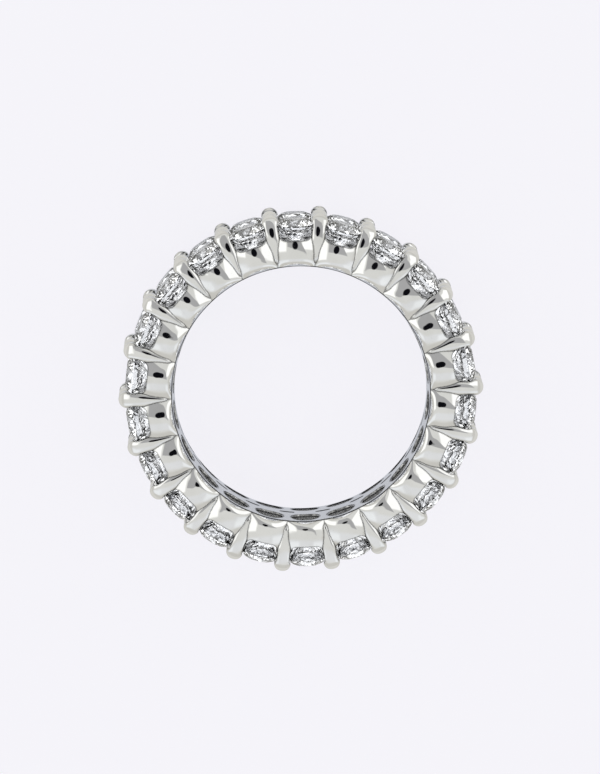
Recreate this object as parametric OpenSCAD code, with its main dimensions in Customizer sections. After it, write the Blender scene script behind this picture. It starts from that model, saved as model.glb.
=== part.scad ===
// Eternity ring with two rows of round brilliant stones in shared prongs.
// It lies on its side: the finger goes through along Z, and Z = 0 is the surface it lies on.

/* [Finger hole] */
// Diameter of the finger hole at the middle of the band
finger_d = 17; // [16:0.5:20]
// How much wider the hole's radius is at its two edges than at the middle
comfort_drop = 0.15; // [0.05:0.05:0.3]
// Width of the chamfer between the finger side and the outer sides
edge_chamfer = 0.3; // [0.2:0.05:0.4]

/* [Stones] */
// Diameter of a stone at its girdle
stone_d = 2.8; // [2.4:0.1:3.2]
// Least space between two stones of one row, measured at the girdle
stone_gap = 0.4; // [0.3:0.05:0.5]
// Space between the two rows of stones
row_gap = 0.06; // [0.05:0.01:0.3]
// Table diameter as a share of the stone's diameter
table_share = 0.57; // [0.52:0.01:0.65]
// Slope of the crown's main facets, in degrees
crown_angle = 34.5; // [30:0.5:38]
// Slope of the pavilion's main facets, in degrees
pavilion_angle = 40.75; // [39:0.25:43]
// Height of the girdle
girdle_h = 0.08; // [0.05:0.01:0.12]
// Clearance between a stone and the metal
seat_clear = 0.03; // [0.02:0.01:0.05]
// Angle of the first stone round the ring, in degrees
first_stone = 10.2; // [0:0.1:16]

/* [Cups] */
// Height of the cups' rims above the finger hole's middle
cup_h = 2.1; // [1.9:0.1:2.4]
// Height of the girdle's lower edge above the cups' rims
girdle_lift = 0.69; // [0.6:0.01:0.9]
// Length of the opening behind each stone, round the ring
opening_l = 1.9; // [1.5:0.1:2.1]
// Width of the opening behind each stone, along the finger
opening_w = 1.5; // [1.2:0.1:1.8]
// How far the cups' crests stand out past the stones
cup_out = 0.02; // [0:0.01:0.2]
// Height of the crest above the finger hole's middle
crest_h = 1.15; // [0.9:0.05:1.3]
// Radius of a cup's outer wall round the stone
cup_round = 2.2; // [2:0.05:2.4]
// Radius of a cup's outer wall from the finger side to the rim
cup_bulge = 3; // [2.5:0.1:5]
// Corner radius of the window between two prongs
window_corner = 0.62; // [0.3:0.01:0.7]
// Height of the bridge under the prongs above the cups' rims
bridge_h = 0.28; // [0.2:0.01:0.3]

/* [Prongs] */
// Width of a prong round the ring
prong_w = 0.96; // [0.8:0.02:1.1]
// Depth of an outer prong along the finger
prong_depth = 0.96; // [0.8:0.02:1.1]
// Depth of a middle prong along the finger
middle_depth = 1.2; // [1:0.02:1.3]
// Distance from a row's centre line to the outer prongs' faces
prong_reach = 1.12; // [1.05:0.01:1.2]
// Height of the prong tips above the tables
tip_rise = 0.41; // [0.3:0.01:0.5]
// Width by which a prong's long edges are cut
prong_edge = 0.27; // [0.15:0.01:0.3]
// Width of an outer prong where it is notched for the girdles
notch_w = 0.86; // [0.8:0.02:0.88]
// Width that the notches leave at an outer prong's back
notch_back = 0.08; // [0.04:0.02:0.12]
// Width by which a prong's long edges are cut beside the notches
notch_edge = 0.12; // [0.1:0.01:0.15]
// Radius along which an outer prong leans over the stones
prong_bow = 6; // [5:0.5:9]
// Height of the outer prongs' foremost point above the finger hole's middle
bow_h = 1.75; // [1.5:0.05:2]

/* [Finger side slots] */
// Length of a slot between four stones, round the ring
slot_l = 0.95; // [0.6:0.05:1.1]
// Width of a slot along the finger
slot_w = 0.3; // [0.2:0.05:0.4]
// Depth of a slot from the finger hole's middle
slot_depth = 0.6; // [0.3:0.05:0.9]

/* [Hidden] */
past = 1; // how far a cutter runs past what it cuts
corner_sides = 8;
opening_sides = 8;
dome_ring = 45; // latitude

bore_r = finger_d / 2;
edge_r = bore_r + comfort_drop;
rim_r = bore_r + cup_h;
crest_r = bore_r + crest_h;
bow_r = bore_r + bow_h;
bridge_r = rim_r + bridge_h;
wall_r = (crest_r + bridge_r) / 2;
girdle_r = rim_r + girdle_lift;
stone_r = stone_d / 2;
table_rad = stone_r * table_share;
crown_h = (stone_r - table_rad) * tan(crown_angle);
pavilion_h = stone_r * tan(pavilion_angle);
table_r = girdle_r + girdle_h + crown_h;
tip_r = table_r + tip_rise;
dome_r = prong_w / 2;

stones = floor(2 * PI * girdle_r / (stone_d + stone_gap));
pitch = 360 / stones;
notch_r = (girdle_r + girdle_h + seat_clear - notch_w / 2 * sin(pitch / 2)) / cos(pitch / 2);
row_z = (stone_d + row_gap) / 2;
crest_z = row_z + stone_r + cup_out;
edge_z = crest_z - edge_chamfer - comfort_drop;
flat_z = edge_z / 4; // the finger side is flat this far from the mid-plane
face_z = row_z + prong_reach;
high_z = crest_z + past;

rows = ["front", "back"];
function two_digits(n) = str(n < 10 ? "0" : "", n);
function stone_name(row, i) = str("stone_", rows[row], "_", two_digits(i + 1));
STONE_NODES = [for (row = [0, 1], i = [0 : stones - 1]) stone_name(row, i)];

// Turns what stands along Z to point outwards along X
module outwards() {
    rotate([0, 90, 0]) children();
}

module both_rows() {
    children();
    mirror([0, 0, 1]) children();
}

module at_stones() {
    for (i = [0 : stones - 1]) rotate([0, 0, first_stone + i * pitch]) children();
}

module at_prongs() {
    for (i = [0 : stones - 1]) rotate([0, 0, first_stone + (i + 0.5) * pitch]) children();
}

// Triangles between two rows of points, from their first points k and n along m steps.
// The rows close into rings of ring_len points.
function strip(k, n, m, ring_len) = [for (j = [0 : m - 1]) let (j2 = (j + 1) % ring_len)
    each [[k + j, n + j, n + j2], [k + j, n + j2, k + j2]]];

// A solid through rings of points, each with the same number of points, that ends in a tip
module loft(rings, tip) {
    m = len(rings[0]);
    last = len(rings) - 1;
    polyhedron(
        [for (ring = rings) each ring, tip],
        concat(
            [[for (j = [m - 1 : -1 : 0]) j]],
            [for (k = [0 : last - 1]) each strip((k + 1) * m, k * m, m, m)],
            [for (j = [0 : m - 1]) [last * m + j, last * m + (j + 1) % m, (last + 1) * m]]));
}

// Distance from the mid-plane to a cup's wall, at angle a from its stone
function wall_z(a, r) = crest_z - cup_round + sqrt(pow(cup_round, 2) - pow(r * sin(a), 2))
    - pow(r - crest_r, 2) / (2 * cup_bulge);

function turned(points, turn) = [for (p = points) [p[0] * cos(turn), p[0] * sin(turn), p[1]]];

// The band is one polyhedron. Its outer side has four columns for each stone: the chamfer's edge,
// the cup's crest, the middle of its wall and the top of the bridge, from the front to the back.
// Its domed finger side has two columns for each stone, and the chamfers join the two.
module band() {
    count = 4 * stones;
    function outer(a) =
        let (
            chamfer_r = edge_r + max(edge_chamfer / 3, wall_z(a, edge_r + edge_chamfer) - edge_z),
            half = [for (r = [chamfer_r, crest_r, wall_r, bridge_r]) [r, wall_z(a, r)]])
        concat(half, [for (k = [3 : -1 : 0]) [half[k][0], -half[k][1]]]);
    inner = [[edge_r, -edge_z], [bore_r, -flat_z], [bore_r, flat_z], [edge_r, edge_z]];
    function turn(c) = first_stone + c * pitch / 4;
    function out(c) = (c % count) * 8;
    function in(c) = count * 8 + (c % count) * 2;
    polyhedron(
        concat(
            [for (c = [0 : count - 1]) each turned(outer(abs((c + 2) % 4 - 2) * pitch / 4), turn(c))],
            [for (c = [0 : 2 : count - 1]) each turned(inner, turn(c))]),
        [for (c = [0 : count - 1]) each strip(out(c), out(c + 1), 7, 8),
         for (c = [0 : 2 : count - 1]) each concat(
            strip(in(c), in(c + 2), 3, 4),
            [[in(c) + 3, in(c + 2) + 3, out(c + 1)],
             [in(c) + 3, out(c + 1), out(c)],
             [in(c + 2) + 3, out(c + 2), out(c + 1)],
             [in(c), out(c + 1) + 7, in(c + 2)],
             [in(c), out(c) + 7, out(c + 1) + 7],
             [in(c + 2), out(c + 1) + 7, out(c + 2) + 7]])]);
}

// The window above the cups' rims, between two prongs and through both rows
module window() {
    h = pitch / 2;
    r = window_corner;
    function side_y(x) = (x * sin(h) - prong_w / 2 - r) / cos(h);
    hull()
        for (side = [-1, 1], x = [rim_r + r, tip_r + past])
            translate([x, side * side_y(x), 0])
                cylinder(r = r, h = 2 * high_z, center = true, $fn = corner_sides);
}

// An outer prong's outline at x along its length: its front face at z, its sides from edge behind
// the face, and its back
function outer_ring(x, z, depth, front, edge, width, back) =
    [[x, front / 2, z], [x, width / 2, z - edge], [x, back / 2, z - depth],
     [x, -back / 2, z - depth], [x, -width / 2, z - edge], [x, -front / 2, z]];

function front_of_prong(x) = face_z - (x - bow_r) * (x - bow_r) / (2 * prong_bow);

// An outer prong is bowed, leans over the stones towards its round tip, and is notched behind its
// face, where the stones' girdles are
module outer_prong() {
    foot = edge_r + edge_chamfer / 2;
    base = tip_r - dome_r;
    base_z = front_of_prong(base);
    in = dome_r * (1 - cos(dome_ring));
    face_w = prong_w - 2 * prong_edge;
    function ring(x) = outer_ring(x, front_of_prong(x), prong_depth, face_w, prong_edge, prong_w, prong_w);
    loft(
        [ring(foot),
         ring(bow_r),
         outer_ring(notch_r, front_of_prong(notch_r), prong_depth, face_w, notch_edge, notch_w, notch_back),
         ring(base),
         outer_ring(base + dome_r * sin(dome_ring), base_z - in, prong_depth - 2 * in,
             face_w * cos(dome_ring), prong_edge * cos(dome_ring), prong_w - 2 * in, prong_w - 2 * in)],
        [tip_r, 0, base_z - prong_depth / 2]);
}

// A middle prong is shared by four stones
module middle_prong() {
    e = prong_edge;
    function ring(x, in) =
        let (a = prong_w / 2 - in, b = middle_depth / 2 - in)
        [[x, a - e, b], [x, a, b - e], [x, a, e - b], [x, a - e, -b],
         [x, e - a, -b], [x, -a, e - b], [x, -a, b - e], [x, e - a, b]];
    base = tip_r - dome_r;
    loft(
        [ring(rim_r - past / 2, 0),
         ring(base, 0),
         ring(base + dome_r * sin(dome_ring), dome_r * (1 - cos(dome_ring)))],
        [tip_r, 0, 0]);
}

// The oval opening behind a stone
module opening() {
    hull()
        for (side = [-1, 1])
            translate([bore_r - past, side * (opening_l - opening_w) / 2, 0]) outwards()
                rotate([0, 0, 180 / opening_sides])
                cylinder(d = opening_w, h = bridge_r - bore_r + past, $fn = opening_sides);
}

module slot() {
    translate([bore_r - past, -slot_l / 2, -slot_w / 2]) cube([slot_depth + past, slot_l, slot_w]);
}

module mount() {
    color([0.84, 0.84, 0.82])
        translate([0, 0, crest_z])
        difference() {
            union() {
                difference() {
                    band();
                    at_stones() window();
                }
                at_prongs() {
                    both_rows() outer_prong();
                    middle_prong();
                }
            }
            at_stones() both_rows() translate([0, 0, row_z]) opening();
            at_prongs() slot();
        }
}

// A round brilliant about Z, with its girdle's lower edge at Z = 0.
// Its corners go round in rings: 8 at the table, 8 under the stars, 16 at each edge of the girdle,
// 8 on the pavilion, and the culet.
module brilliant() {
    star_rad = (table_rad * cos(22.5) + stone_r) / 2;
    star_z = girdle_h + crown_h * (stone_r - star_rad * cos(22.5)) / (stone_r - table_rad);
    lower_rad = 0.23 * stone_r;
    lower_z = -pavilion_h * (1 - lower_rad * cos(22.5) / stone_r);
    function ring(r, z, n, start) =
        [for (k = [0 : n - 1]) let (a = start + k * 360 / n) [r * cos(a), r * sin(a), z]];
    points = concat(
        ring(table_rad, girdle_h + crown_h, 8, 0),
        ring(star_rad, star_z, 8, 22.5),
        ring(stone_r, girdle_h, 16, 0),
        ring(stone_r, 0, 16, 0),
        ring(lower_rad, lower_z, 8, 22.5),
        [[0, 0, -pavilion_h]]);
    culet = len(points) - 1;
    function table(k) = k % 8;
    function star(k) = 8 + k % 8;
    function upper(k) = 16 + k % 16;
    function lower(k) = 32 + k % 16;
    function pav(k) = 48 + k % 8;
    faces = concat(
        [[for (k = [7 : -1 : 0]) table(k)]],
        [for (k = [0 : 7]) [table(k), table(k + 1), star(k)]],
        [for (k = [0 : 7]) [table(k), star(k), upper(2 * k), star(k + 7)]],
        [for (k = [0 : 7]) [star(k), upper(2 * k + 1), upper(2 * k)]],
        [for (k = [0 : 7]) [star(k), upper(2 * k + 2), upper(2 * k + 1)]],
        [for (k = [0 : 15]) [upper(k), upper(k + 1), lower(k + 1), lower(k)]],
        [for (k = [0 : 7]) [pav(k), lower(2 * k), lower(2 * k + 1)]],
        [for (k = [0 : 7]) [pav(k), lower(2 * k + 1), lower(2 * k + 2)]],
        [for (k = [0 : 7]) [culet, pav(k + 7), lower(2 * k), pav(k)]]);
    polyhedron(points, faces);
}

// Each stone is set as it falls, so its facets are turned by an even spread of angles
module stone(row, i) {
    spin = (i * 137.5 + row * 68) % 45;
    side = row == 0 ? 1 : -1;
    color([0.9, 0.93, 0.97])
        translate([0, 0, crest_z])
        rotate([0, 0, first_stone + i * pitch])
        translate([girdle_r, 0, side * row_z])
        outwards() rotate([0, 0, spin]) brilliant();
}

mount();
for (row = [0, 1], i = [0 : stones - 1])
    stone(row, i);
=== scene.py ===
"""Eternity ring with two rows of round brilliant stones, lying on its side on a pale surface.

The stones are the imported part's own solids. The mount is made again here as one smooth mesh of
the same form: a domed band with a cup for each stone, three rings of prongs, windows between
the prongs, an opening behind each stone and a slot between four stones.
"""

import math

import bpy
import numpy as np
from mathutils import Matrix, Vector

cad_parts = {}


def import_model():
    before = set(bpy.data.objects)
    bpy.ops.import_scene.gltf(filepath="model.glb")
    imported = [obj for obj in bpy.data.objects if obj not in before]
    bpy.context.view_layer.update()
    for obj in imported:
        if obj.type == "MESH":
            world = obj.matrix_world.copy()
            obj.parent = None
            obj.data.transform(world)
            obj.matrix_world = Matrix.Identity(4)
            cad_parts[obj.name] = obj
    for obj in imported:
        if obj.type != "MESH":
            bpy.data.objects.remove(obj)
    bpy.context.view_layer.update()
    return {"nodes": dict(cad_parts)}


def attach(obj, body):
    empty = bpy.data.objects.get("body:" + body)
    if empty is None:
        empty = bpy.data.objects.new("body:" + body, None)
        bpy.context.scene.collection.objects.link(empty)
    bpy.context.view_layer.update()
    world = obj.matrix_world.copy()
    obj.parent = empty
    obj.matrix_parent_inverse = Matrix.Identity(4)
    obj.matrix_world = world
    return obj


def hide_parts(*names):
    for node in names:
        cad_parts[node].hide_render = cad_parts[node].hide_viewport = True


MM = 0.001

# ---------------------------------------------------------------- sizes of the ring
# In millimetres. A name in _R is a distance from the ring's axis, and one in _Z a height from
# its mid-plane, which is MID_HEIGHT above the surface that the ring lies on.

STONES = 22
PITCH = 2 * math.pi / STONES
FIRST_STONE = math.radians(10.2)
MID_HEIGHT = 2.85
ROW_Z = 1.43
GIRDLE_R = 11.29
GIRDLE_H = 0.08
SEAT_CLEAR = 0.03

# The band. Its inner edges fall off from ROUND_START_R with a power of the distance.
BORE_R = 8.5
COMFORT_DROP = 0.15
EDGE_R = BORE_R + COMFORT_DROP
EDGE_CHAMFER = 0.3
ROUND_START_R = 9.53
ROUND_POWER = 4
ROUND_STEPS = (0.97, 0.93, 0.88, 0.82, 0.75, 0.68, 0.6, 0.52, 0.44, 0.36, 0.27, 0.15, 0)
ROUND_EXTRA = 0.04
ROUND_LEAST = 0.03
CREST_R = 9.65
CREST_Z = 2.85
EDGE_Z = CREST_Z - EDGE_CHAMFER - COMFORT_DROP
RIM_R = 10.39
BRIDGE_R = 10.88
CUP_ROUND = 2.2
CUP_BULGE = 3.0
COLUMNS_PER_STONE = 26
FINGER_SIDE_ROWS = 15
WALL_ROWS = 12
TOP_ROWS = 9

# The prongs. An outer prong's face bows away from BOW_R both ways, most of all towards the
# tip. The foot starts at FOOT_R with widths of its own, and reaches the full ones at BOW_R.
TIP_R = 12.25
TIP_W = 1.1
DOME_R = TIP_W / 2
DOME_LATITUDES = (12, 24, 36, 48, 60, 70, 80)
PRONG_W = 0.94
PRONG_DEPTH = 0.96
PRONG_EDGE = 0.27
PRONG_POWER = 2.5
PRONG_SIDE_STEPS = (0.25, 0.5, 0.75, 0.94)
PRONG_FACE_Z = ROW_Z + 1.12
PRONG_BOW = 3.6
BOW_R = 10.5
FOOT_R = EDGE_R + EDGE_CHAMFER / 2
FOOT_W = 0.62
FOOT_EDGE = 0.4
FOOT_POWER = 1.5
FOOT_BOW = 40.0
FOOT_BEND_R = 9.3
FOOT_BEND = 0.6
NOTCH_W = 0.86
NOTCH_BACK = 0.08
NOTCH_EDGE = 0.12
NOTCH_R = (GIRDLE_R + GIRDLE_H + SEAT_CLEAR
           - NOTCH_W / 2 * math.sin(PITCH / 2)) / math.cos(PITCH / 2)
MIDDLE_DEPTH = 1.2
MIDDLE_POWER = 2.8

# What is cut out. PAST is how far a cutter reaches beyond what it cuts.
PAST = 1.0
WINDOW_CORNER = 0.44
WINDOW_END_Z = 4.0
OPENING_L = 1.9
OPENING_W = 1.5
OPENING_FLARE = 0.05
FLARE_START_R = BORE_R - 0.02
FLARE_END_R = BORE_R + 0.09
SLOT_L = 0.95
SLOT_W = 0.3
SLOT_DEPTH = 0.6
SLOT_POWER = 4

# The finish, in millimetres and degrees. The two widths are of the painted shade lines at the
# edges and on the rim.
EDGE_SHADE_W = 0.15
RIM_SHADE_W = 0.06
SHARP_FROM = 20


# ---------------------------------------------------------------- meshes

def mesh_object(name, points, faces):
    mesh = bpy.data.meshes.new(name)
    mesh.from_pydata([tuple(MM * float(v) for v in p) for p in points], [], faces)
    mesh.validate()
    piece = bpy.data.objects.new(name, mesh)
    bpy.context.scene.collection.objects.link(piece)
    return piece


def skin(rings, tip=None):
    """Points and outward faces of a closed body through rings that run the right-hand way round
    the direction from the first ring to the last. It may end in a tip."""
    n = len(rings[0])
    points = [p for ring in rings for p in ring]
    faces = [tuple(reversed(range(n)))]
    for k in range(len(rings) - 1):
        for j in range(n):
            j2 = (j + 1) % n
            faces.append((k * n + j, k * n + j2, (k + 1) * n + j2, (k + 1) * n + j))
    last = (len(rings) - 1) * n
    if tip is None:
        faces.append(tuple(range(last, last + n)))
    else:
        points.append(tip)
        faces += [(last + j, last + (j + 1) % n, len(points) - 1) for j in range(n)]
    return points, faces


def joined(*bodies):
    points, faces = [], []
    for body_points, body_faces in bodies:
        start = len(points)
        points += body_points
        faces += [tuple(start + i for i in face) for face in body_faces]
    return points, faces


def turned_over(body):
    """The same body mirrored to the other side of the ring's mid-plane."""
    points, faces = body
    return [(x, y, -z) for x, y, z in points], [tuple(reversed(face)) for face in faces]


def superellipse(half_w, half_d, power, count, sweep=math.pi):
    """Points of a rounded box outline, from the right side over the front to the left, or all
    the way round and back to the first with a sweep of a full turn."""
    out = []
    for k in range(count):
        t = sweep * k / (count - 1)
        c, s = math.cos(t), math.sin(t)
        out.append((half_w * math.copysign(abs(c) ** (2 / power), c),
                    half_d * math.copysign(abs(s) ** (2 / power), s)))
    return out


# ---------------------------------------------------------------- the band

def wall_z(angle, radius):
    """Height of a cup's wall, at an angle from its stone."""
    return (CREST_Z - CUP_ROUND + math.sqrt(CUP_ROUND ** 2 - (radius * math.sin(angle)) ** 2)
            - (radius - CREST_R) ** 2 / (2 * CUP_BULGE))


def band_section(angle):
    """The band's outline as (radius, height), from the front of the finger side, over the finger
    side to the back, up the back wall, over the top and down the front wall."""
    crest = wall_z(angle, ROUND_START_R)
    low = min(EDGE_Z - ROUND_EXTRA, crest - ROUND_LEAST)
    inner = [(BORE_R + COMFORT_DROP * (z / EDGE_Z) ** 2, z)
             for z in np.linspace(low, -low, FINGER_SIDE_ROWS)]
    reach = ROUND_START_R - inner[0][0]
    rounding = [(ROUND_START_R - reach * u, crest - (crest - low) * u ** ROUND_POWER)
                for u in ROUND_STEPS]
    wall = rounding + [(r, wall_z(angle, r))
                       for r in np.linspace(ROUND_START_R, BRIDGE_R, WALL_ROWS)[1:]]
    top = [(BRIDGE_R, z) for z in np.linspace(-wall[-1][1], wall[-1][1], TOP_ROWS)[1:-1]]
    return inner + [(r, -z) for r, z in wall] + top + list(reversed(wall))


def band():
    columns = COLUMNS_PER_STONE * STONES
    points = []
    for c in range(columns):
        turn = c * 2 * math.pi / columns
        from_stone = (turn + PITCH / 2) % PITCH - PITCH / 2
        a = FIRST_STONE + turn
        section = band_section(abs(from_stone))
        points += [(r * math.cos(a), r * math.sin(a), z) for r, z in section]
    n = len(section)
    faces = []
    for c in range(columns):
        c2 = (c + 1) % columns
        for j in range(n):
            j2 = (j + 1) % n
            faces.append((c * n + j, c2 * n + j, c2 * n + j2, c * n + j2))
    return mesh_object("smooth_mount", points, faces)


# ---------------------------------------------------------------- the prongs
# Each is made out along +X, and is turned to its place when it is repeated round the ring.

def prong_front(x):
    """Height of an outer prong's face: a flat bow at its foot, bent over the stones at its top."""
    bow = (x - BOW_R) ** 2 / (2 * (PRONG_BOW if x > BOW_R else FOOT_BOW))
    return PRONG_FACE_Z - bow - max(0, FOOT_BEND_R - x) ** 2 / (2 * FOOT_BEND)


def outer_prong_ring(x, edge, width, back, power=PRONG_POWER):
    """An outer prong's outline at x: a rounded face, and sides that taper to its back."""
    z = prong_front(x)
    front = [(y, z - edge + f) for y, f in superellipse(width / 2, edge, power, 15)]
    side = [(width / 2 + (back - width) / 2 * t, z - edge - (PRONG_DEPTH - edge) * t)
            for t in PRONG_SIDE_STEPS]
    left = [(-y, h) for y, h in side]
    ring = front + left + [(0, z - PRONG_DEPTH)] + list(reversed(side))
    return [(x, y, h) for y, h in ring]


def dome(full, base, middle=0.0, lean=0.0):
    """Rings that close an outline in a dome, which may lean over as it rises."""
    rings = []
    for latitude in DOME_LATITUDES:
        c, s = math.cos(math.radians(latitude)), math.sin(math.radians(latitude))
        rings.append([(base + DOME_R * s, y * c, middle - lean * DOME_R * s + (h - middle) * c)
                      for x, y, h in full])
    return rings


def outer_prong():
    """A prong of the front row: its foot, the notch for the girdles, and its domed tip."""
    base = TIP_R - DOME_R
    rings = []
    for t in np.linspace(0, 1, 13):
        x = FOOT_R + (BOW_R - FOOT_R) * t
        width = FOOT_W + (PRONG_W - FOOT_W) * t
        rings.append(outer_prong_ring(x, FOOT_EDGE + (PRONG_EDGE - FOOT_EDGE) * t, width, width,
                                      FOOT_POWER + (PRONG_POWER - FOOT_POWER) * t))
    for start, end, full_w, leaving in ((BOW_R, NOTCH_R, PRONG_W, False),
                                        (NOTCH_R, base, TIP_W, True)):
        for t in np.linspace(0, 1, 7)[1:]:
            notch = 1 - t if leaving else t
            rings.append(outer_prong_ring(
                start + (end - start) * t, PRONG_EDGE + (NOTCH_EDGE - PRONG_EDGE) * notch,
                NOTCH_W + (full_w - NOTCH_W) * (1 - notch),
                NOTCH_BACK + (full_w - NOTCH_BACK) * (1 - notch)))
    middle = prong_front(base) - PRONG_DEPTH / 2
    lean = (base - BOW_R) / PRONG_BOW
    full = outer_prong_ring(base, PRONG_EDGE, TIP_W, TIP_W)
    return skin(rings + dome(full, base, middle, lean), (TIP_R, 0, middle - lean * DOME_R))


def middle_prong():
    base = TIP_R - DOME_R
    half = superellipse(TIP_W / 2, MIDDLE_DEPTH / 2, MIDDLE_POWER, 17)
    outline = half + [(-y, -z) for y, z in half[1:-1]]
    rings = [[(x, y, z) for y, z in outline] for x in np.linspace(RIM_R - PAST / 2, base, 8)]
    return skin(rings + dome(rings[-1], base), (TIP_R, 0, 0))


# ---------------------------------------------------------------- what is cut out

def window():
    """The window above the cups' rims, between two prongs and through both rows."""
    half, r = PITCH / 2, WINDOW_CORNER

    def side(x):
        return (x * math.sin(half) - PRONG_W / 2 - r) / math.cos(half)

    low, high = RIM_R + r, TIP_R + PAST
    right = []
    for k in range(13):
        t = math.radians(180) - (math.pi / 2 - half) * k / 12
        right.append((low + r * math.cos(t), side(low) + r * math.sin(t)))
    right.append((high - r * math.sin(half), side(high) + r * math.cos(half)))
    outline = right + [(x, -y) for x, y in reversed(right)]
    return skin([[(x, y, z) for x, y in outline] for z in (WINDOW_END_Z, -WINDOW_END_Z)])


def opening():
    """The oval opening behind a front stone, a little flared where it meets the finger side."""
    rings = []
    for x, flare in ((BORE_R - PAST, OPENING_FLARE), (FLARE_START_R, OPENING_FLARE),
                     (FLARE_END_R, 0.0), (BRIDGE_R, 0.0)):
        ring = []
        for k in range(40):
            t = 2 * math.pi * k / 40
            r = OPENING_W / 2 + flare
            y = r * math.cos(t) + math.copysign((OPENING_L - OPENING_W) / 2, math.cos(t))
            ring.append((x, y, ROW_Z + r * math.sin(t)))
        rings.append(ring)
    return skin(rings)


def slot():
    """The blind slot in the finger side, in the middle of four stones."""
    outline = superellipse(SLOT_L / 2, SLOT_W / 2, SLOT_POWER, 33, 2 * math.pi)[:-1]
    return skin([[(x, y, z) for y, z in outline] for x in (BORE_R - PAST, BORE_R + SLOT_DEPTH)])


# ---------------------------------------------------------------- nodes

def new_group(name, kind, inputs, outputs):
    """A node group with named inputs and outputs: the tree, its input node, its output node and
    its inputs' identifiers."""
    tree = bpy.data.node_groups.new(name, kind)
    identifiers = [tree.interface.new_socket(title, in_out="INPUT", socket_type=sort).identifier
                   for title, sort in inputs]
    for title, sort in outputs:
        tree.interface.new_socket(title, in_out="OUTPUT", socket_type=sort)
    start, end = tree.nodes.new("NodeGroupInput"), tree.nodes.new("NodeGroupOutput")
    return tree, start, end, identifiers


def fill(tree, socket, value):
    """Gives a socket a value, or links another socket to it."""
    if isinstance(value, bpy.types.NodeSocket):
        tree.links.new(value, socket)
    else:
        socket.default_value = value


def calculated(tree, operation, *values, kind="ShaderNodeMath"):
    node = tree.nodes.new(kind)
    node.operation = operation
    for socket, value in zip(node.inputs, values):
        fill(tree, socket, value)
    return node.outputs["Value"]


def length_of(tree, vector):
    return calculated(tree, "LENGTH", vector, kind="ShaderNodeVectorMath")


def mapped(tree, value, low, high, interpolation="LINEAR"):
    """0 at low and 1 at high, and no less or more beyond them."""
    node = tree.nodes.new("ShaderNodeMapRange")
    node.interpolation_type = interpolation
    node.inputs["From Min"].default_value = low
    node.inputs["From Max"].default_value = high
    tree.links.new(value, node.inputs["Value"])
    return node.outputs["Result"]


def mixed(tree, factor, first, second):
    """A colour between two, each given as a colour or as a socket."""
    node = tree.nodes.new("ShaderNodeMix")
    node.data_type = "RGBA"
    tree.links.new(factor, node.inputs["Factor"])
    colours = [socket for socket in node.inputs if socket.type == "RGBA"]
    fill(tree, colours[0], first)
    fill(tree, colours[1], second)
    return [socket for socket in node.outputs if socket.type == "RGBA"][0]


def noise(tree, where, scale, detail=2.0):
    node = tree.nodes.new("ShaderNodeTexNoise")
    fill(tree, node.inputs["Vector"], where)
    fill(tree, node.inputs["Scale"], scale)
    fill(tree, node.inputs["Detail"], detail)
    return node.outputs["Fac"]


# ---------------------------------------------------------------- repeating round the ring

def round_the_ring_group():
    """Repeats a piece round the ring: named inputs for how many, the first one's angle and the
    metal. It ends in Realize Instances and Set Material."""
    tree, start, end, identifiers = new_group(
        "round the ring", "GeometryNodeTree",
        (("Piece", "NodeSocketGeometry"), ("Count", "NodeSocketInt"),
         ("First angle", "NodeSocketFloat"), ("Finish", "NodeSocketMaterial")),
        (("Ring of pieces", "NodeSocketGeometry"),))
    nodes, link = tree.nodes, tree.links.new
    points = nodes.new("GeometryNodePoints")
    link(start.outputs["Count"], points.inputs["Count"])
    step = calculated(tree, "DIVIDE", 2 * math.pi, start.outputs["Count"])
    index = nodes.new("GeometryNodeInputIndex")
    angle = calculated(tree, "MULTIPLY_ADD", index.outputs[0], step, start.outputs["First angle"])
    turn = nodes.new("ShaderNodeCombineXYZ")
    link(angle, turn.inputs["Z"])
    place = nodes.new("GeometryNodeInstanceOnPoints")
    link(points.outputs[0], place.inputs["Points"])
    link(start.outputs["Piece"], place.inputs["Instance"])
    link(turn.outputs[0], place.inputs["Rotation"])
    real = nodes.new("GeometryNodeRealizeInstances")
    link(place.outputs[0], real.inputs[0])
    dress = nodes.new("GeometryNodeSetMaterial")
    link(real.outputs[0], dress.inputs["Geometry"])
    link(start.outputs["Finish"], dress.inputs["Material"])
    link(dress.outputs[0], end.inputs[0])
    return tree, identifiers[1:]


def plain_mesh(piece):
    """Turns what a piece's modifiers make into its own mesh."""
    graph = bpy.context.evaluated_depsgraph_get()
    made = bpy.data.meshes.new_from_object(piece.evaluated_get(graph))
    old = piece.data
    piece.modifiers.clear()
    piece.data = made
    bpy.data.meshes.remove(old)
    return piece


def repeated(name, body, first_angle, group, finish):
    piece = mesh_object(name, *body)
    modifier = piece.modifiers.new("round the ring", "NODES")
    modifier.node_group, identifiers = group
    for identifier, value in zip(identifiers, (STONES, first_angle, finish)):
        modifier[identifier] = value
    return plain_mesh(piece)


def carve(piece, operation, other):
    """Cuts another closed body out of a piece, or joins it on, and takes its finish over."""
    modifier = piece.modifiers.new(operation, "BOOLEAN")
    modifier.operation = operation
    modifier.solver = "MANIFOLD"
    modifier.material_mode = "TRANSFER"
    modifier.object = other
    plain_mesh(piece)
    mesh = other.data
    bpy.data.objects.remove(other)
    bpy.data.meshes.remove(mesh)


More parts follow.
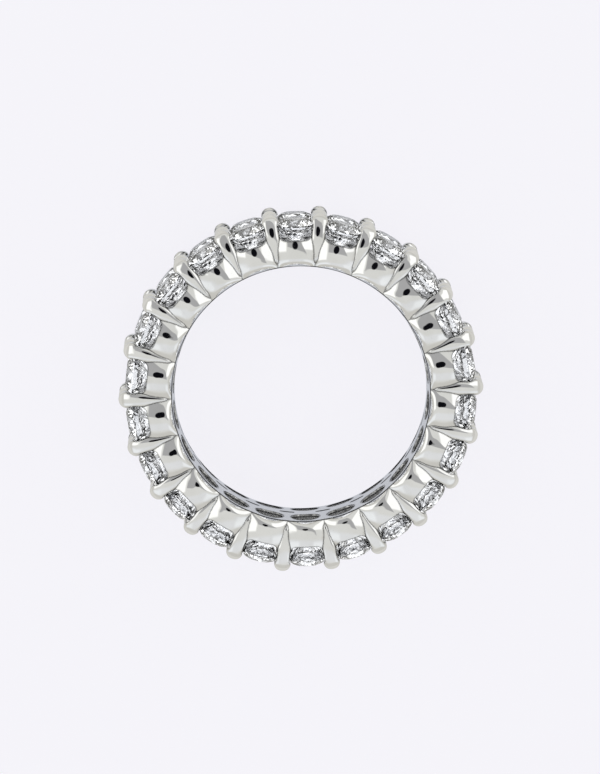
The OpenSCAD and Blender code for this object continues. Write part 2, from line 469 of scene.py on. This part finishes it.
def smooth_mount(metal, shaded_cup_metal):
    group = round_the_ring_group()
    at_prong = FIRST_STONE + PITCH / 2
    mount = band()
    mount.data.materials.append(metal)
    hole, front = opening(), outer_prong()
    holes = joined(hole, turned_over(hole))
    prongs = repeated("prongs", joined(front, turned_over(front), middle_prong()),
                      at_prong, group, metal)
    # the walls cut for openings, windows and slots take the cast metal, whose dark tone is painted
    # shade
    for piece in (prongs, mount):
        carve(piece, "DIFFERENCE", repeated("openings", holes, FIRST_STONE, group, shaded_cup_metal))
    carve(mount, "DIFFERENCE", repeated("windows", window(), FIRST_STONE, group, shaded_cup_metal))
    carve(mount, "UNION", prongs)
    carve(mount, "DIFFERENCE", repeated("slots", slot(), at_prong, group, shaded_cup_metal))
    mount.data.transform(Matrix.Translation((0, 0, MID_HEIGHT * MM)))
    for polygon in mount.data.polygons:
        polygon.use_smooth = True
    mount.data.set_sharp_from_angle(angle=math.radians(SHARP_FROM))
    return mount


# ---------------------------------------------------------------- finishes

def new_material(name):
    """An empty material with its shader and its output: the material, its tree and the shader."""
    material = bpy.data.materials.new(name)
    material.use_nodes = True
    tree = material.node_tree
    tree.nodes.clear()
    shader = tree.nodes.new("ShaderNodeBsdfPrincipled")
    out = tree.nodes.new("ShaderNodeOutputMaterial")
    tree.links.new(shader.outputs[0], out.inputs["Surface"])
    return material, tree, shader


def metal_tone_group():
    """Tone and roughness that drift softly over a metal, at a scale that is set."""
    tree, start, end, _ = new_group(
        "metal tone", "ShaderNodeTree",
        (("Dark", "NodeSocketColor"), ("Light", "NodeSocketColor"), ("Scale", "NodeSocketFloat"),
         ("Smooth", "NodeSocketFloat"), ("Rough", "NodeSocketFloat")),
        (("Color", "NodeSocketColor"), ("Roughness", "NodeSocketFloat")))
    link = tree.links.new
    where = tree.nodes.new("ShaderNodeTexCoord").outputs["Object"]
    drift = mapped(tree, noise(tree, where, start.outputs["Scale"], detail=3), 0.35, 0.65)
    link(mixed(tree, drift, start.outputs["Dark"], start.outputs["Light"]), end.inputs["Color"])
    gloss = tree.nodes.new("ShaderNodeMapRange")
    link(drift, gloss.inputs["Value"])
    link(start.outputs["Rough"], gloss.inputs["To Min"])
    link(start.outputs["Smooth"], gloss.inputs["To Max"])
    link(gloss.outputs["Result"], end.inputs["Roughness"])
    return tree


def painted_edge_shade_group():
    """Painted shade: a weight that rises at the metal's edges and on the rim of the finger side,
    where the photo has a thin dark line."""
    tree, start, end, _ = new_group(
        "painted edge shade", "ShaderNodeTree",
        (("Width", "NodeSocketFloat"), ("Strength", "NodeSocketFloat")),
        (("Mask", "NodeSocketFloat"),))
    bevel = tree.nodes.new("ShaderNodeBevel")
    bevel.samples = 5
    tree.links.new(start.outputs["Width"], bevel.inputs["Radius"])
    surface = tree.nodes.new("ShaderNodeNewGeometry")
    match = calculated(tree, "DOT_PRODUCT", bevel.outputs[0], surface.outputs["Normal"],
                       kind="ShaderNodeVectorMath")
    # painted shade at the edges, where the bevelled normal parts from the surface's own
    shade_at_edge = mapped(tree, match, 0.998, 0.955)
    flat = tree.nodes.new("ShaderNodeVectorMath")
    flat.operation = "MULTIPLY"
    flat.inputs[1].default_value = (1, 1, 0)
    tree.links.new(surface.outputs["Position"], flat.inputs[0])
    # painted shade on the rim, which is just beyond the finger side's widest radius
    shade_on_rim = calculated(tree, "COMPARE", length_of(tree, flat.outputs[0]),
                        (EDGE_R + RIM_SHADE_W / 2) * MM, RIM_SHADE_W / 2 * MM)
    painted_shade = calculated(tree, "MULTIPLY", calculated(tree, "MAXIMUM", shade_at_edge, shade_on_rim),
                      start.outputs["Strength"])
    tree.links.new(painted_shade, end.inputs["Mask"])
    return tree


def metal_finish(name, tone_group, edge_shade_group, dark, light, scale, smooth, rough):
    """A metal between a dark and a light tone, with painted shade as a darker line along its
    edges.
    """
    material, tree, metal = new_material(name)
    metal.inputs["Metallic"].default_value = 1.0
    tone = tree.nodes.new("ShaderNodeGroup")
    tone.node_tree = tone_group
    for socket, value in (("Dark", dark), ("Light", light), ("Scale", scale),
                          ("Smooth", smooth), ("Rough", rough)):
        tone.inputs[socket].default_value = value
    # painted shade: a near-black line mixed into the colour along the edges and on the rim
    line = tree.nodes.new("ShaderNodeGroup")
    line.node_tree = edge_shade_group
    line.inputs["Width"].default_value = EDGE_SHADE_W * MM
    line.inputs["Strength"].default_value = 0.95
    colour = mixed(tree, line.outputs["Mask"], tone.outputs["Color"], (0.06, 0.06, 0.06, 1))
    tree.links.new(colour, metal.inputs["Base Color"])
    tree.links.new(tone.outputs["Roughness"], metal.inputs["Roughness"])
    return material


def polished_metal(*groups):
    return metal_finish("polished white metal", *groups,
                        dark=(0.90, 0.90, 0.885, 1), light=(0.95, 0.95, 0.94, 1),
                        scale=900, smooth=0.03, rough=0.07)


def shaded_cast_metal(*groups):
    """The inside of the cups and slots, which no wheel can reach: duller, in coarse patches, with
    a very dark tone that is painted shade in these recesses.
    """
    # partly real, the rougher unpolished metal, and partly painted shade, its very dark tone
    return metal_finish("unpolished cast metal with painted shade", *groups,
                        dark=(0.30, 0.30, 0.305, 1), light=(0.97, 0.97, 0.96, 1),
                        scale=3600, smooth=0.30, rough=0.65)


def clear_stone():
    material, tree, stone = new_material("clear cut stone")
    stone.inputs["Metallic"].default_value = 0.0
    stone.inputs["Roughness"].default_value = 0.0
    stone.inputs["IOR"].default_value = 2.0
    stone.inputs["Transmission Weight"].default_value = 1.0
    where = tree.nodes.new("ShaderNodeTexCoord").outputs["Object"]
    tone = mixed(tree, noise(tree, where, 500), (0.96, 0.975, 1, 1), (1, 1, 1, 1))
    tree.links.new(tone, stone.inputs["Base Color"])
    return material


def pale_surface():
    """The surface that the ring lies on, which glows: one tone to the camera, another in the
    metal, darkened within and under the ring as a painted shadow of it, and a brighter one through
    the stones, which is painted light."""
    material, tree, board = new_material("pale surface")
    board.inputs["Base Color"].default_value = (0.12, 0.12, 0.12, 1)
    board.inputs["Roughness"].default_value = 1.0
    board.inputs["Specular IOR Level"].default_value = 0.0
    board.inputs["Emission Strength"].default_value = 1.0
    path = tree.nodes.new("ShaderNodeLightPath")
    where = tree.nodes.new("ShaderNodeTexCoord").outputs["Object"]
    # painted shadow of the ring: darker within 11 mm of its axis, as the metal sees it
    beyond_painted_shadow = mapped(tree, length_of(tree, where), 11 * MM, 14 * MM)
    mirrored = mixed(tree, beyond_painted_shadow, (0.50, 0.515, 0.565, 1), (0.60, 0.59, 0.56, 1))
    # painted light: the surface glows brighter where it is seen through the stones
    lit = mixed(tree, path.outputs["Is Transmission Ray"], mirrored, (1.25, 1.26, 1.28, 1))
    seen = mixed(tree, path.outputs["Is Camera Ray"], lit, (0.831, 0.822, 0.869, 1))
    tree.links.new(seen, board.inputs["Emission Color"])
    return material


# ---------------------------------------------------------------- surroundings

VIEW_TILT = math.radians(9.4)
VIEW_YAW = math.radians(-0.8)
TO_CAMERA = Vector((math.sin(VIEW_YAW), math.sin(VIEW_TILT), math.cos(VIEW_TILT))).normalized()
SCREEN_RIGHT = Vector((0, 1, 0)).cross(TO_CAMERA).normalized()
SCREEN_UP = TO_CAMERA.cross(SCREEN_RIGHT)
CAMERA_AWAY = 0.35
LENS = 241.5
SHIFT_UP, SHIFT_RIGHT = 0.10, -0.04
BOARD_HALF_MM = 600.0

# Light panels and paler parts of the tent, in degrees right of and above the camera's direction:
# left, right, low and high edge, softness, light.
PANELS = (
    (-64, -33, -14, 34, 3.5, (1.12, 1.12, 1.10, 1)),
    (24, 62, -8, 42, 2.5, (1.10, 1.10, 1.09, 1)),
    (-70, 70, -56, -30, 6.0, (0.74, 0.75, 0.765, 1)),
    (-62, -24, -54, -34, 6.0, (0.86, 0.88, 0.90, 1)),
    (28, 62, -54, -34, 6.0, (0.86, 0.88, 0.90, 1)),
)


def soft_room():
    """A white tent round the ring, with a grey card round the camera and its dark lens. What is
    seen through the stones is brighter, with darker patches."""
    world = bpy.data.worlds.new("soft room")
    bpy.context.scene.world = world
    world.use_nodes = True
    tree = world.node_tree
    tree.nodes.clear()
    where = tree.nodes.new("ShaderNodeTexCoord").outputs["Generated"]

    def along(axis):
        return calculated(tree, "DOT_PRODUCT", where, axis, kind="ShaderNodeVectorMath")

    def maths(operation, *values):
        return calculated(tree, operation, *values)

    def rises(value, low, high):
        return mapped(tree, value, low, high, "SMOOTHSTEP")

    def falls(value, low, high):
        return maths("SUBTRACT", 1.0, rises(value, low, high))

    def distance(x, y):
        return maths("SQRT", maths("MULTIPLY_ADD", x, x, maths("MULTIPLY", y, y)))

    turn, right, up = maths("ARCCOSINE", along(TO_CAMERA)), along(SCREEN_RIGHT), along(SCREEN_UP)
    stretch = maths("DIVIDE", maths("MULTIPLY", turn, 180 / math.pi),
                    maths("MAXIMUM", distance(right, up), 1e-4))
    u, v = maths("MULTIPLY", right, stretch), maths("MULTIPLY", up, stretch)

    def box(left, right_side, low, high, soft, slant=0.0, low_slant=0.0):
        """A soft-edged patch, whose right and low edges may slant."""
        across = maths("MULTIPLY_ADD", v, slant, u)
        high_up = maths("MULTIPLY_ADD", u, low_slant, v)
        sides = maths("MULTIPLY", rises(u, left - soft, left + soft),
                      falls(across, right_side - soft, right_side + soft))
        ends = maths("MULTIPLY", rises(high_up, low - soft, low + soft),
                     falls(v, high - soft, high + soft))
        return maths("MULTIPLY", sides, ends)

    lens = falls(distance(maths("ADD", u, 1.5), maths("ADD", v, -0.5)), 9.5, 10.8)
    tent = mixed(tree, rises(turn, math.radians(58), math.radians(72)),
                 (0.70, 0.70, 0.68, 1), (0.60, 0.59, 0.56, 1))
    for *edges, light in PANELS:
        tent = mixed(tree, box(*edges), tent, light)
    card = box(-29, 26, -9, 50, 1.2, slant=0.75, low_slant=0.22)
    mirrored = mixed(tree, card, tent, (0.40, 0.40, 0.405, 1))
    mirrored = mixed(tree, lens, mirrored, (0.004, 0.004, 0.006, 1))
    patches = rises(noise(tree, where, 2.6, detail=1), 0.38, 0.45)
    through = mixed(tree, patches, (0.45, 0.45, 0.46, 1), (1.95, 1.95, 1.96, 1))
    through = mixed(tree, lens, through, (0.03, 0.03, 0.03, 1))
    path = tree.nodes.new("ShaderNodeLightPath")
    lit = mixed(tree, path.outputs["Is Transmission Ray"], mirrored, through)
    seen = mixed(tree, path.outputs["Is Camera Ray"], lit, (0.896, 0.888, 0.939, 1))
    glow = tree.nodes.new("ShaderNodeBackground")
    out = tree.nodes.new("ShaderNodeOutputWorld")
    tree.links.new(seen, glow.inputs["Color"])
    tree.links.new(glow.outputs[0], out.inputs["Surface"])


def camera():
    centre = (Vector((0, 0, MID_HEIGHT * MM))
              + MM * (SHIFT_UP * SCREEN_UP + SHIFT_RIGHT * SCREEN_RIGHT))
    data = bpy.data.cameras.new("camera")
    data.lens = LENS
    data.clip_start, data.clip_end = 0.01, 10
    eye = bpy.data.objects.new("camera", data)
    bpy.context.scene.collection.objects.link(eye)
    turn = Matrix((SCREEN_RIGHT, SCREEN_UP, TO_CAMERA)).transposed().to_4x4()
    eye.matrix_world = Matrix.Translation(centre + CAMERA_AWAY * TO_CAMERA) @ turn
    bpy.context.scene.camera = eye


def board():
    corners = [(x * BOARD_HALF_MM, y * BOARD_HALF_MM, 0)
               for x, y in ((-1, -1), (1, -1), (1, 1), (-1, 1))]
    floor = mesh_object("board", corners, [(0, 1, 2, 3)])
    floor.data.materials.append(pale_surface())


def main():
    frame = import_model()
    scene = bpy.context.scene
    scene.view_settings.view_transform = "Standard"
    scene.cycles.max_bounces = scene.cycles.transmission_bounces = 24
    groups = metal_tone_group(), painted_edge_shade_group()
    metal, stone = polished_metal(*groups), clear_stone()
    mount = smooth_mount(metal, shaded_cast_metal(*groups))
    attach(mount, "root")
    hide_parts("mount")
    for name, node in frame["nodes"].items():
        node.data.materials.clear()
        node.data.materials.append(metal if name == "mount" else stone)
    soft_room()
    board()
    camera()


main()
